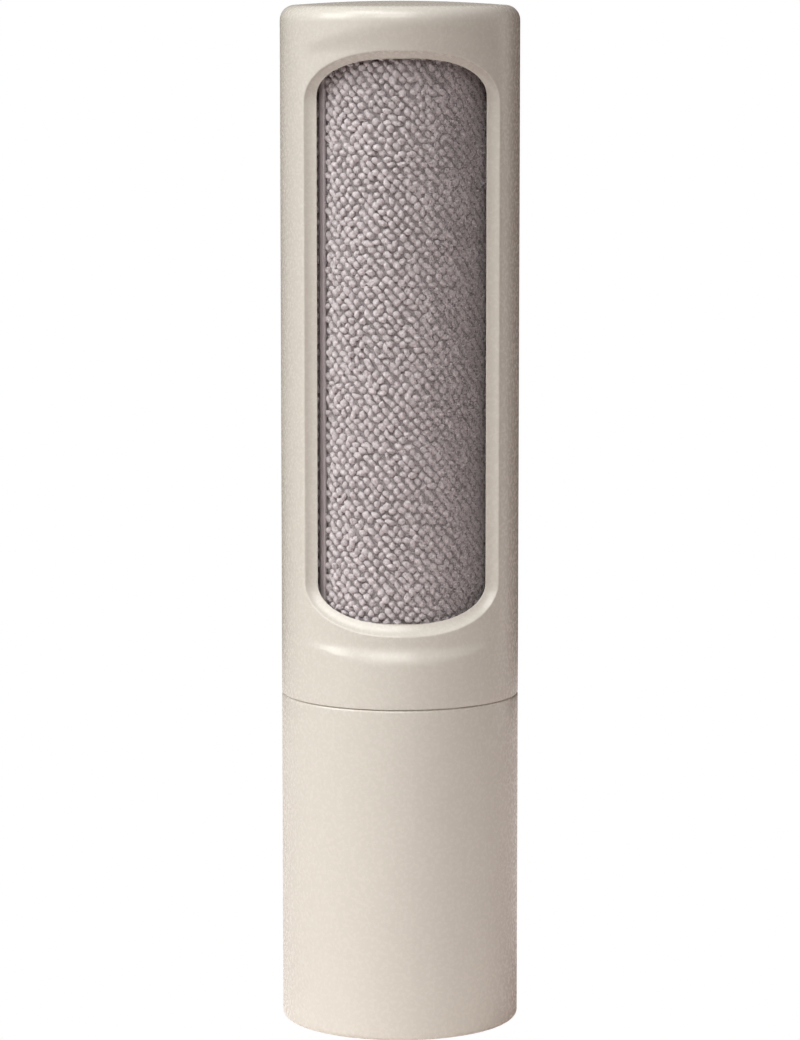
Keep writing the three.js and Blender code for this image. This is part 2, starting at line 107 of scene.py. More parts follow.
# Shallow scoop in the casing's face around the window
SCOOP = {"depth": 1.3, "half": 56, "foot": 80.2, "foot_run": 4.2, "head": 197, "head_run": 6.1}
SCOOP_ROWS = (77.6, 75.5, -0.4)  # heights of the rings through the scoop's foot: from, to and step
PLAIN_ROWS = (75.0, 73.0, 70.0)  # heights of the rings below it

# Knit on the drum
FABRIC_R = FABRIC_HIGH[0]
BACKING_R = FABRIC_R - 0.75  # outside of the backing cloth, where the loops stand
CLOTH_IN_R = FABRIC_R - 1.15  # inside of the backing cloth and of the strip
DRUM_LOW, DRUM_HIGH = FABRIC_LOW[2], FABRIC_HIGH[2]
STRIP = {"at": -52.8, "half": 2.2, "slot": 3.1, "r": FABRIC_R - 0.1}
WALE = 1.05  # spacing of the columns of loops
COURSE = 2.35  # spacing of the loops in a column

rng = np.random.default_rng(48)


# ---- materials ----


class Surface:
    """A node material in the making, in millimetres."""

    def __init__(self, name, color, roughness, metallic=0.0, **sockets):
        self.material = bpy.data.materials.new(name)
        self.material.use_nodes = True
        self.tree = self.material.node_tree
        self.shader = self.tree.nodes["Principled BSDF"]
        self.shader.inputs["Base Color"].default_value = (*color, 1)
        self.shader.inputs["Roughness"].default_value = roughness
        self.shader.inputs["Metallic"].default_value = metallic
        for socket, value in sockets.items():
            self.shader.inputs[socket.replace("_", " ")].default_value = value
        self.place = self.node("ShaderNodeTexCoord").outputs["Object"]

    def node(self, kind, **settings):
        made = self.tree.nodes.new(kind)
        for key, value in settings.items():
            setattr(made, key, value)
        return made

    def link(self, a, b):
        self.tree.links.new(a, b)

    def noise(self, size, detail=2.0, stretch=(1, 1, 1)):
        """Noise from 0 to 1 with features of that size."""
        mapping = self.node("ShaderNodeMapping")
        mapping.inputs["Scale"].default_value = [s / (size * MM) for s in stretch]
        self.link(self.place, mapping.inputs["Vector"])
        made = self.node("ShaderNodeTexNoise")
        made.inputs["Scale"].default_value = 1
        made.inputs["Detail"].default_value = detail
        self.link(mapping.outputs["Vector"], made.inputs["Vector"])
        return made.outputs["Fac"]

    def spread(self, value, low, high, to_low=0.0, to_high=1.0):
        made = self.node("ShaderNodeMapRange")
        for socket, number in zip(("From Min", "From Max", "To Min", "To Max"), (low, high, to_low, to_high)):
            made.inputs[socket].default_value = number
        self.link(value, made.inputs["Value"])
        return made.outputs["Result"]

    def mixed(self, factor, a, b):
        """A colour between a and b, each a colour or a socket."""
        made = self.node("ShaderNodeMix", data_type="RGBA")
        self.link(factor, made.inputs["Factor"])
        for socket, value in ((made.inputs["A"], a), (made.inputs["B"], b)):
            if isinstance(value, bpy.types.NodeSocket):
                self.link(value, socket)
            else:
                socket.default_value = (*value, 1)
        return made.outputs["Result"]

    def edges(self, low=0.53, high=0.62):
        """1 on worn convex edges, 0 elsewhere."""
        return self.spread(self.node("ShaderNodeNewGeometry").outputs["Pointiness"], low, high)

    def color(self, socket):
        self.link(socket, self.shader.inputs["Base Color"])

    def roughness(self, socket):
        self.link(socket, self.shader.inputs["Roughness"])

    def bump(self, height, depth, strength=1.0):
        made = self.node("ShaderNodeBump")
        made.inputs["Distance"].default_value = depth * MM
        made.inputs["Strength"].default_value = strength
        self.link(height, made.inputs["Height"])
        if self.shader.inputs["Normal"].links:
            self.link(self.shader.inputs["Normal"].links[0].from_socket, made.inputs["Normal"])
        self.link(made.outputs["Normal"], self.shader.inputs["Normal"])


def tinted(color, share):
    return tuple(c * share for c in color)


def satin_shell():
    """Warm pale moulded plastic with a satin spark finish, a little paler where edges are handled."""
    base = (0.705, 0.668, 0.596)
    made = Surface("satin_shell", base, 0.27)
    cloudy = made.mixed(made.spread(made.noise(38), 0.3, 0.7), tinted(base, 0.99), tinted(base, 1.01))
    made.color(made.mixed(made.edges(0.55, 0.7), cloudy, tinted(base, 1.07)))
    made.roughness(made.spread(made.noise(0.8, 3), 0.3, 0.7, 0.265, 0.28))
    made.bump(made.noise(0.32, 3), 0.012, 0.06)
    made.bump(made.noise(14), 0.03, 0.03)
    return made.material


def inner_plastic():
    """Warm grey moulded plastic of the pieces inside."""
    base = (0.265, 0.236, 0.215)
    made = Surface("inner_plastic", base, 0.55)
    cloudy = made.mixed(made.spread(made.noise(11, 3), 0.3, 0.7), tinted(base, 0.9), tinted(base, 1.08))
    made.color(made.mixed(made.edges(), cloudy, tinted(base, 1.5)))
    made.roughness(made.spread(made.noise(2.5, 4), 0.3, 0.7, 0.48, 0.62))
    made.bump(made.noise(0.25, 3), 0.015, 0.5)
    return made.material


def acetal():
    base = (0.8, 0.79, 0.75)
    made = Surface("acetal", base, 0.35)
    made.color(made.mixed(made.spread(made.noise(3, 3), 0.35, 0.65), tinted(base, 0.95), base))
    made.roughness(made.spread(made.noise(1.2, 3), 0.3, 0.7, 0.3, 0.42))
    made.bump(made.noise(0.2), 0.008, 0.4)
    return made.material


def turned_steel():
    """Bright zinc-plated steel with fine turning marks round the axis."""
    base = (0.62, 0.62, 0.63)
    made = Surface("turned_steel", base, 0.3, metallic=1.0)
    cloudy = made.mixed(made.spread(made.noise(1.6, 4), 0.3, 0.7), tinted(base, 0.8), tinted(base, 1.05))
    made.color(made.mixed(made.edges(), cloudy, tinted(base, 1.25)))
    made.roughness(made.spread(made.noise(0.5, 4, (0.25, 0.25, 6)), 0.3, 0.7, 0.2, 0.4))
    made.bump(made.noise(0.12, 2, (0.1, 0.1, 4)), 0.01, 0.5)
    return made.material


def rubber():
    base = (0.036, 0.033, 0.03)
    made = Surface("rubber", base, 0.8)
    dusty = made.mixed(made.spread(made.noise(1.5, 5), 0.45, 0.75), base, (0.085, 0.08, 0.075))
    made.color(made.mixed(made.edges(), dusty, (0.12, 0.113, 0.105)))
    made.roughness(made.spread(made.noise(0.8, 3), 0.3, 0.7, 0.7, 0.9))
    made.bump(made.noise(0.3, 4), 0.04, 0.6)
    return made.material


YARN = (0.8, 0.722, 0.732)


def yarn():
    """The knit's loops: soft mottled yarn with fibres that break up its surface."""
    made = Surface("yarn", YARN, 0.95, Sheen_Weight=0.6, Sheen_Roughness=0.5)
    tone = made.mixed(made.spread(made.noise(0.9, 3), 0.3, 0.7), tinted(YARN, 0.8), tinted(YARN, 1.12))
    fibre = made.spread(made.noise(0.42, 3), 0.35, 0.65)
    made.color(made.mixed(fibre, tinted(YARN, 0.7), tone))
    made.roughness(made.spread(made.noise(0.3, 2), 0.3, 0.7, 0.88, 1.0))
    made.bump(made.noise(0.4, 4), 0.3, 1.0)
    return made.material


def backing_cloth():
    base = tinted(YARN, 0.5)
    made = Surface("backing_cloth", base, 1.0, Sheen_Weight=0.1)
    made.color(made.mixed(made.spread(made.noise(0.35, 4), 0.3, 0.7), tinted(base, 0.7), tinted(base, 1.15)))
    made.roughness(made.spread(made.noise(0.3, 2), 0.3, 0.7, 0.9, 1.0))
    made.bump(made.noise(0.2, 4), 0.15, 0.9)
    return made.material


def nap():
    """The fine fibres that stand off the loops, in a random mix of dark fibres that paint shade where the nap
    is raised and pale fibres that paint glints.
    """
    made = Surface("nap", YARN, 0.55, Sheen_Weight=0.1)
    shade_and_glint_mix = made.spread(made.noise(0.45, 2), 0.35, 0.65)
    # painted shade and painted glints: fibres at 0.35 of the yarn's colour darken the side of the drum where
    # the nap is raised, and fibres at 1.2 of it stand in for glints on the nap
    made.color(made.mixed(shade_and_glint_mix, tinted(YARN, 0.35), tinted(YARN, 1.2)))
    made.roughness(made.spread(made.noise(0.4, 2), 0.3, 0.7, 0.6, 0.85))
    made.bump(made.noise(0.05, 2), 0.01, 0.3)
    return made.material


def seam_tape():
    """Smooth woven tape over the knit's seam."""
    base = tinted(YARN, 0.72)
    made = Surface("seam_tape", base, 0.6)
    made.color(made.mixed(made.spread(made.noise(2.5, 3), 0.3, 0.7), tinted(base, 0.93), tinted(base, 1.06)))
    made.roughness(made.spread(made.noise(0.5, 3), 0.3, 0.7, 0.5, 0.7))
    made.bump(made.noise(0.22, 2, (1, 1, 0.25)), 0.03, 0.5)
    return made.material


def pale_floor():
    """White floor that the camera sees as bright as the surroundings, and that throws some warm light up."""
    made = Surface("pale_floor", (0.86, 0.85, 0.84), 0.9)
    made.shader.inputs["Emission Color"].default_value = (*FLOOR_GLOW, 1)
    made.shader.inputs["Emission Strength"].default_value = 1
    made.roughness(made.spread(made.noise(20), 0.3, 0.7, 0.85, 0.95))
    seen, either = made.node("ShaderNodeEmission"), made.node("ShaderNodeMixShader")
    made.link(made.node("ShaderNodeLightPath").outputs["Is Camera Ray"], either.inputs["Fac"])
    made.link(made.shader.outputs["BSDF"], either.inputs[1])
    made.link(seen.outputs["Emission"], either.inputs[2])
    made.link(either.outputs["Shader"], made.tree.nodes["Material Output"].inputs["Surface"])
    return made.material


# ---- meshes ----


def at(r, angle, z):
    """The point at a radius, an angle and a height."""
    a = np.radians(angle)
    return np.stack(np.broadcast_arrays(r * np.sin(a), -r * np.cos(a), z), -1)


def piece(name, points, faces, material, sharp=35):
    """A smooth-shaded mesh object, with edges over that many degrees left sharp."""
    mesh = bpy.data.meshes.new(name)
    mesh.from_pydata(np.asarray(points, float) * MM, [], faces)
    mesh.polygons.foreach_set("use_smooth", [True] * len(mesh.polygons))
    mesh.set_sharp_from_angle(angle=math.radians(sharp))
    mesh.materials.append(material)
    made = bpy.data.objects.new(name, mesh)
    bpy.context.scene.collection.objects.link(made)
    return made


def in_parts(name, parts, points, faces, material):
    """Meshes that share out copies of the same faces, with points as copies x corners x 3."""
    made = []
    for number, share in enumerate(np.array_split(points, parts), 1):
        each = share.shape[1]
        all_faces = [[c + i * each for c in face] for i in range(len(share)) for face in faces]
        made.append(piece(f"{name}_{number}", share.reshape(-1, 3), all_faces, material, 180))
    return made


class Skin:
    """Points and faces gathered ring by ring into one closed surface."""

    def __init__(self):
        self.points = []
        self.faces = []

    def ring(self, points):
        start = len(self.points)
        self.points.extend(np.asarray(points))
        return list(range(start, len(self.points)))

    def bridge(self, a, b):
        """Joins two closed rings of as many points."""
        for i in range(len(a)):
            j = (i + 1) % len(a)
            self.faces.append((a[i], a[j], b[j], b[i]))

    def chain(self, rings):
        for a, b in zip(rings, rings[1:]):
            self.bridge(a, b)

    def fan(self, ring, point):
        tip = self.ring([point])[0]
        for i in range(len(ring)):
            self.faces.append((ring[i], ring[(i + 1) % len(ring)], tip))

    def piece(self, name, material, sharp=35):
        made = piece(name, self.points, self.faces, material, sharp)
        work = bmesh.new()
        work.from_mesh(made.data)
        bmesh.ops.recalc_face_normals(work, faces=work.faces)
        work.to_mesh(made.data)
        work.free()
        return made


def arc(r, z, radius, start, end, steps):
    """(radius, height) points on an arc about a centre."""
    a = np.radians(np.linspace(start, end, steps + 1))
    return list(zip(r + radius * np.cos(a), z + radius * np.sin(a)))


# ---- casing ----

CORNER_STEPS = 14  # along half of a corner of the window
FLAT_STEPS = 8  # along its bottom and its top, between the corners
SIDE_STEPS = 26
BACK_STEPS = 76  # round the rest of the casing
PATCH_STEPS = 7  # from the plain wall towards the window
LIP_STEPS = 8
EDGE_STEPS = 4


def outline(window):
    """Four sides of (angle, height) points, counter-clockwise from the middle of the lower left corner.

    Each side takes in half of the corner at either end.
    """

    def corner(side, up, a):
        height = window["high"] if up else window["low"]
        middle = window["top"] - height if up else window["bottom"] + height
        offset = side * (window["half"] - window["corner"])
        turn = math.radians(a)
        return offset + window["corner"] * math.cos(turn), middle + height * math.sin(turn)

    def side(first, last, turn, flat_steps):
        arcs = [
            [corner(*which, turn + 45 * (k + i / CORNER_STEPS)) for i in range(CORNER_STEPS + 1)]
            for k, which in enumerate((first, last))
        ]
        flat = np.linspace(arcs[0][-1], arcs[1][0], flat_steps + 1)[1:-1]
        return np.array([*arcs[0], *flat, *arcs[1]])

    return [
        side((-1, False), (1, False), 225, FLAT_STEPS),
        side((1, False), (1, True), 315, SIDE_STEPS),
        side((1, True), (-1, True), 45, FLAT_STEPS),
        side((-1, True), (-1, False), 135, SIDE_STEPS),
    ]


def loop(sides):
    return np.concatenate([s[:-1] for s in sides])


def frame_columns_and_rows():
    """The angles and heights at which the patch round the window meets the plain wall."""
    bottom, right = outline(WINDOW_FACE)[:2]
    columns = bottom[:, 0] * FRAME_HALF / bottom[-1, 0]
    rows = np.interp(right[:, 1], right[[0, -1], 1], FRAME_Z)
    return columns, rows


def scoop(angle, z):
    """Depth of the scoop."""
    across = np.clip(1 - (np.asarray(angle) / SCOOP["half"]) ** 2, 1e-6, 1)

    def eased(t):
        s = np.clip(t, 0, 1)
        return s * s * (3 - 2 * s)

    rise = eased(1 - (SCOOP["foot"] - z) / (SCOOP["foot_run"] * across))
    fall = eased(1 - (z - SCOOP["head"]) / (SCOOP["head_run"] * across))
    return SCOOP["depth"] * across * rise * fall


def face_radius(angle, z):
    return SHELL_R - scoop(angle, z)


def pushed_out(points, distance, radius):
    """A closed outline moved outwards over a cylinder."""
    flat = np.stack([np.radians(points[:, 0]) * radius, points[:, 1]], -1)
    along = np.roll(flat, -1, 0) - np.roll(flat, 1, 0)
    normal = np.stack([along[:, 1], -along[:, 0]], -1)
    flat = flat + distance * normal / np.linalg.norm(normal, axis=1, keepdims=True)
    return np.stack([np.degrees(flat[:, 0] / radius), flat[:, 1]], -1)


class Wall:
    """One side of the casing's wall, with the patch round the window left open."""

    def __init__(self, skin, radius, columns, rows):
        self.skin, self.radius = skin, radius
        self.window_columns = len(columns)
        back = np.linspace(FRAME_HALF, 360 - FRAME_HALF, BACK_STEPS + 1)[1:-1]
        self.angles = np.concatenate([columns, back])
        grid = []
        for i, z in enumerate(rows):
            inside = 0 < i < len(rows) - 1
            shown = [not (inside and 0 < j < len(columns) - 1) for j in range(len(self.angles))]
            angles = self.angles[shown]
            made = skin.ring(at(radius(self.signed(angles), z), angles, z))
            line = [None] * len(shown)
            for j, index in zip(np.flatnonzero(shown), made):
                line[j] = index
            grid.append(line)
        for a, b in zip(grid, grid[1:]):
            for j in range(len(a)):
                k = (j + 1) % len(a)
                if j >= self.window_columns - 1:
                    skin.faces.append((a[j], a[k], b[k], b[j]))
        n, m = self.window_columns - 1, len(rows) - 1
        self.bottom, self.top = grid[0], grid[-1]
        self.border = grid[0][:n]
        self.border += [grid[i][n] for i in range(m)]
        self.border += grid[m][n:0:-1]
        self.border += [grid[i][0] for i in range(m, 0, -1)]
        self.border_place = np.array(
            [(columns[j], rows[0]) for j in range(n)]
            + [(columns[n], rows[i]) for i in range(m)]
            + [(columns[j], rows[m]) for j in range(n, 0, -1)]
            + [(columns[0], rows[i]) for i in range(m, 0, -1)]
        )

    @staticmethod
    def signed(angles):
        return (angles + 180) % 360 - 180

    def full_ring(self, radius, z):
        return self.skin.ring(at(radius, self.angles, z))

    def face_ring(self, z):
        return self.full_ring(self.radius(self.signed(self.angles), z), z)

    def patch(self, places, radii=None):
        """A ring of the patch, on the wall or at given radii."""
        r = self.radius(places[:, 0], places[:, 1]) if radii is None else radii
        return self.skin.ring(at(r, places[:, 0], places[:, 1]))


def unit(v):
    return v / np.linalg.norm(v, axis=1, keepdims=True)


def window_rings(skin, outer, inner):
    """The rings from the outer wall, over the lip and through the window, to the inner wall."""
    face, brow, rim, edge = (loop(outline(w)) for w in (WINDOW_FACE, WINDOW_BROW, WINDOW_RIM, RIM_EDGE))
    near = [pushed_out(face, distance, SHELL_R) for distance in MARGINS]
    rings = [outer.border]
    for t in np.linspace(0, 1, PATCH_STEPS + 1)[1:-1]:
        rings.append(outer.patch((1 - t) * outer.border_place + t * near[0]))
    rings += [outer.patch(place) for place in near]

    start = at(face_radius(*near[-1].T), *near[-1].T)
    high = at(face_radius(*face.T), *face.T)
    low = at(face_radius(*brow.T) - LIP_DEPTH, *brow.T)
    deep = at(RIM_R, *rim.T)
    chord = unit(low - high)
    outwards = unit(np.cross(chord, np.roll(high, -1, 0) - np.roll(high, 1, 0)))
    crest = (high + low) / 2 + LIP_CROWN * outwards
    first, last = unit(crest - high), unit(low - crest)
    inwards = unit(deep - low)
    lip_start, lip_end = high + FACE_EDGE * first, low - BROW_EDGE * last
    rings += [skin.ring(p) for p in rounded(start, high, lip_start, EDGE_STEPS)]
    rings += [skin.ring(p) for p in rounded(lip_start, crest, lip_end, LIP_STEPS)]
    rings += [skin.ring(p) for p in rounded(lip_end, low, low + BROW_EDGE * inwards, EDGE_STEPS)]
    rings.append(skin.ring(deep))
    rings.append(inner.patch(edge, np.full(len(edge), RIM_R)))
    rings.append(inner.patch(pushed_out(edge, RIM_FLARE, BORE_R)))
    rings.append(inner.border)
    skin.chain(rings)


def rounded(start, corner, end, steps):
    """Points of a rounded corner, from just after the start to the end."""
    return [
        (1 - t) ** 2 * start + 2 * t * (1 - t) * corner + t**2 * end for t in np.linspace(0, 1, steps + 1)[1:]
    ]


def casing(material):
    skin = Skin()
    columns, rows = frame_columns_and_rows()
    low = CASING_LOW[2] - SEAM_FILL
    outer = Wall(skin, face_radius, columns, rows)
    inner = Wall(skin, lambda angle, z: np.full(np.shape(angle), BORE_R), columns, rows)
    window_rings(skin, outer, inner)

    crown_r = SHELL_R - TOP_FILLET
    crown_end = 90 - math.degrees(math.atan(2 * CROWN / crown_r))
    fillet = arc(crown_r, SHOULDER_Z, TOP_FILLET, 0, crown_end, 10)
    crown = [(r, TOP_Z - CROWN * (r / crown_r) ** 2) for r in np.linspace(*CROWN_RADII, 10)]
    over = [outer.face_ring(z) for z in np.linspace(FRAME_Z[1], SHOULDER_Z, 6)[1:-1]]
    over += [outer.full_ring(r, z) for r, z in fillet + crown]
    skin.chain([outer.top, *over])
    skin.fan(over[-1], (0, 0, TOP_Z))

    roof = arc(BORE_R - ROOF_FILLET, ROOF_Z - ROOF_FILLET, ROOF_FILLET, 0, 90, 5)
    under = [inner.full_ring(r, z) for r, z in [*roof, (ROOF_INNER_R, ROOF_Z)]]
    skin.chain([inner.top, *under])
    skin.fan(under[-1], (0, 0, ROOF_Z))

    rim = arc(SHELL_R - CASING_EDGE, low + CASING_EDGE, CASING_EDGE, 0, -90, 4)
    rim += [(BORE_R + BORE_EDGE, low), (BORE_R, low + BORE_EDGE)]
    down = [outer.face_ring(z) for z in (*np.arange(*SCOOP_ROWS), *PLAIN_ROWS)]
    down += [outer.full_ring(r, z) for r, z in rim]
    skin.chain([outer.bottom, *down, inner.bottom])
    return skin.piece("casing_shell", material)


def slotted_bore():
    """Angles round the handle, and the bore's radius at each where the slots for the keys are."""
    angles, bores = [], []
    edge, side, pitch = KEYS["half"], KEYS["side"], 360 / len(KEYS["angles"])
    for middle in KEYS["angles"]:
        angles += [middle - edge, middle - edge + side, middle, middle + edge - side, middle + edge]
        bores += [BORE_R, KEYS["r"], KEYS["r"], KEYS["r"], BORE_R]
        between = np.linspace(middle + edge, middle + pitch - edge, 40)[1:-1]
        angles += list(between)
        bores += [BORE_R] * len(between)
    return np.array(angles), np.array(bores)


def handle(material):
    skin = Skin()
    top, low = CUP_HIGH[2] + SEAM_FILL, CUP_LOW[2]
    angles, bores = slotted_bore()

    def ring(r, z):
        return skin.ring(at(r, angles, z))

    recess_r, recess_z = PAD_HIGH[0] + PAD_ROOM, PAD_HIGH[2] + PAD_ROOM
    under = [(PAD_INNER_R, recess_z), (recess_r, recess_z), (recess_r, low + PAD_CHAMFER)]
    under.append((recess_r + PAD_CHAMFER, low))
    base = arc(SHELL_R - BASE_FILLET, low + BASE_FILLET, BASE_FILLET, -90, 0, 7)
    wall = [(SHELL_R, z) for z in HANDLE_ROWS]
    rim = arc(SHELL_R - HANDLE_EDGE, top - HANDLE_EDGE, HANDLE_EDGE, 0, 90, 6)
    rings = [ring(r, z) for r, z in [*under, *base, *wall, *rim]]
    rings += [ring(bores + BORE_EDGE, top), ring(bores, top - BORE_EDGE), ring(bores, KEYS["low"])]
    inside = [(BORE_R, KEYS["low"] - KEYS["step"]), (BORE_R, CONTAINER_Z)]
    inside += arc(BORE_R - FLOOR_FILLET, FLOOR_Z + FLOOR_FILLET, FLOOR_FILLET, 0, -90, 6)
    inside.append((FLOOR_INNER_R, FLOOR_Z))
    rings += [ring(r, z) for r, z in inside]
    skin.chain(rings)
    skin.fan(rings[0], (0, 0, recess_z))
    skin.fan(rings[-1], (0, 0, FLOOR_Z))
    return skin.piece("handle_shell", material)


# ---- knit cover ----

SLEEVE_ROWS = 30


def sleeve(name, inner_r, outer_r, start, end, steps, material):
    """A closed curved sheet round part of the drum, with rounded long edges."""
    skin = Skin()
    angles = np.linspace(start, end, steps + 1)
    thick = outer_r - inner_r
    turn = math.degrees(thick / 3 / outer_r)
    edge = [(outer_r - thick * 0.1, turn * 0.3), (inner_r + thick * 0.5, 0), (inner_r, turn)]
    section = [(outer_r, a) for a in angles[1:-1]]
    section += [(r, end - inset) for r, inset in edge]
    section += [(inner_r, a) for a in angles[-2:0:-1]]
    section += [(r, start + inset) for r, inset in reversed(edge)]
    r, a = np.array(section).T
    rings = [skin.ring(at(r, a, z)) for z in np.linspace(DRUM_LOW, DRUM_HIGH, SLEEVE_ROWS)]
    skin.chain(rings)
    skin.faces.append(tuple(rings[0]))
    skin.faces.append(tuple(rings[-1]))
    return skin.piece(name, material, 50)


LOOP_SIDES = 7
LOOP_RINGS = ((-0.1, 1.0), (0.5, 0.88), (0.86, 0.5))  # height and radius of each ring of a unit loop
LOOP_KINDS = 12
LOOP_UNEVEN = {"radius": 0.13, "lean": 0.1, "height": 0.05, "crest": 0.04}  # spreads of a unit loop's shape

# A loop's half length, half width and height, and its slope in degrees. The spreads of the first three are
# shares of them, the slope's is in degrees and the place's in millimetres.
LOOP_SIZE = {"long": 0.96, "pair_long": 1.06, "wide": 0.7, "tall": 0.82, "slope": -42}
LOOP_SPREAD = {"long": 0.12, "wide": 0.1, "tall": 0.15, "slope": 22, "place": 0.1}

LOOP_PROUD = 0.2  # how far a loop may stand past the CAD fabric's surface and its ends
NAP_FLATTENS = 0.85  # share of a loop's height that it loses where the nap is fully raised
PAIR_PULL = (0.07, 0.1)  # how far the loops of a pair are drawn together, round the drum and along it

# How far the columns and the rows stray from straight lines, and the radians of that wave for each millimetre
# round the drum and along it
WANDER = ((0.16, 0.4, 0.9), (0.2, 0.75, 0.3))

NAP_TURNS = (4, 14, 45, 94, 220, 300)  # degrees past the strip between which the nap rises or falls
NAP_SHARES = (0.35, 0, 0, 1, 1, 0)  # how far it is raised at each


def raised_nap(angle):
    """How far the nap is raised there, from 0 to 1: most on one side of the drum."""
    a = (np.asarray(angle) - STRIP["at"]) % 360
    return np.interp(a, NAP_TURNS, NAP_SHARES)


def loop_shapes():
    """Lumps of yarn in unit size, none quite round, each with a foot, rings and a crest."""
    shapes = []
    turn = np.arange(LOOP_SIDES) * 2 * np.pi / LOOP_SIDES
    for _ in range(LOOP_KINDS):
        rough = 1 + LOOP_UNEVEN["radius"] * rng.standard_normal((len(LOOP_RINGS), LOOP_SIDES))
        lean = rng.normal(0, LOOP_UNEVEN["lean"], 2)
        rings = []
        for (height, radius), uneven in zip(LOOP_RINGS, rough):
            x, y = radius * uneven * np.cos(turn), radius * uneven * np.sin(turn)
            up = height + rng.normal(0, LOOP_UNEVEN["height"], LOOP_SIDES)
            rings.append(np.stack([x + lean[0] * height, y + lean[1] * height, up], -1))
        foot = [(0, 0, LOOP_RINGS[0][0])]
        crest = [(*lean, 1 + rng.normal(0, LOOP_UNEVEN["crest"]))]
        shapes.append(np.concatenate([foot, *rings, crest]))
    return np.array(shapes)


def loop_faces():
    """The faces that join the foot, the rings and the crest of one loop."""
    rings = np.arange(len(LOOP_RINGS) * LOOP_SIDES).reshape(-1, LOOP_SIDES) + 1
    foot, crest = 0, rings[-1, -1] + 1
    faces = []
    for i in range(LOOP_SIDES):
        j = (i + 1) % LOOP_SIDES
        faces.append((foot, rings[0, j], rings[0, i]))
        faces += [(a[i], a[j], b[j], b[i]) for a, b in zip(rings, rings[1:])]
        faces.append((rings[-1, i], rings[-1, j], crest))
    return [tuple(int(c) for c in face) for face in faces]


def loop_places():
    """Where each loop's middle lies round the drum and along it, and its column's place among four."""
    room = math.radians(360 - 2 * STRIP["slot"]) * FABRIC_R
    count = round(room / WALE)
    start = math.radians(STRIP["at"] + STRIP["slot"]) * FABRIC_R
    places = []
    for column in range(count - 1):
        phase = column % 4
        shift = 0.5 * (column % 2)
        for row in range(round((DRUM_HIGH - DRUM_LOW) / COURSE)):
            s = start + (column + 0.5) * room / count
            z = DRUM_LOW + (row + 0.25 + shift) * COURSE
            pull = {1: 1, 2: -1}.get(phase, 0)
            s += pull * PAIR_PULL[0]
            z -= pull * PAIR_PULL[1]
            sideways, along = (far * math.sin(around * s + up * z) for far, around, up in WANDER)
            places.append((s + sideways, z + along, phase))
    return np.array(places)


def knit(material):
    """The knit's loops, each a lump of yarn, in slanting pairs as the fabric is made."""
    places, shapes = loop_places(), loop_shapes()
    count = len(places)
    kind = rng.integers(0, LOOP_KINDS, count)
    local = shapes[kind]
    slanting = np.isin(places[:, 2], (1, 2))
    nap = raised_nap(np.degrees(places[:, 0] / FABRIC_R))

    def around(value, spread):
        return value * (1 + rng.normal(0, spread, count))

    long = around(np.where(slanting, LOOP_SIZE["pair_long"], LOOP_SIZE["long"]), LOOP_SPREAD["long"])
    wide = around(LOOP_SIZE["wide"], LOOP_SPREAD["wide"])
    tall = around(LOOP_SIZE["tall"], LOOP_SPREAD["tall"]) * (1 - NAP_FLATTENS * nap)
    slope = np.radians(LOOP_SIZE["slope"] + rng.normal(0, LOOP_SPREAD["slope"], count))
    x, y, up = np.moveaxis(local * np.stack([long, wide, tall], -1)[:, None], -1, 0)
    cos, sin = np.cos(slope)[:, None], np.sin(slope)[:, None]
    s = places[:, :1] + rng.normal(0, LOOP_SPREAD["place"], (count, 1)) + x * cos - y * sin
    z = places[:, 1:2] + rng.normal(0, LOOP_SPREAD["place"], (count, 1)) + x * sin + y * cos
    r = np.minimum(BACKING_R + up, FABRIC_R + LOOP_PROUD)
    z = np.clip(z, DRUM_LOW - LOOP_PROUD, DRUM_HIGH + LOOP_PROUD)
    points = at(r, np.degrees(s / FABRIC_R), z)
    return in_parts("knit_pile", 3, points, loop_faces(), material)


NAP_COUNT = 150000
NAP_REACH = 20.2  # radius that the tips stay within, clear of the casing's comb
NAP_CLEAR = {"strip": 0.6, "ends": 0.2}  # how far the roots stay from the strip's slot and the drum's ends
NAP_LEAST = 0.3  # share of the fibres that is kept where the nap isn't raised
NAP_GROWTH = 1.5  # power of the raised nap with which that share grows to 1
NAP_ROOT = (-0.4, -0.05)  # depths of the roots, from the CAD fabric's surface
NAP_SINKS = 0.35  # how much deeper the roots lie where the nap is fully raised
NAP_LENGTH = (0.45, 1.0)
NAP_THICK = (0.035, 0.06)  # radii of the roots
NAP_THICKENS = 1.2  # share by which a fibre is thicker where the nap is fully raised
NAP_LEAN = (-0.5, 0.1)  # mean direction of the fibres, round the drum and along it
NAP_LEAN_SPREAD = (0.5, 0.7)
NAP_RISE = (0.2, 0.8)  # share of that direction that points outwards


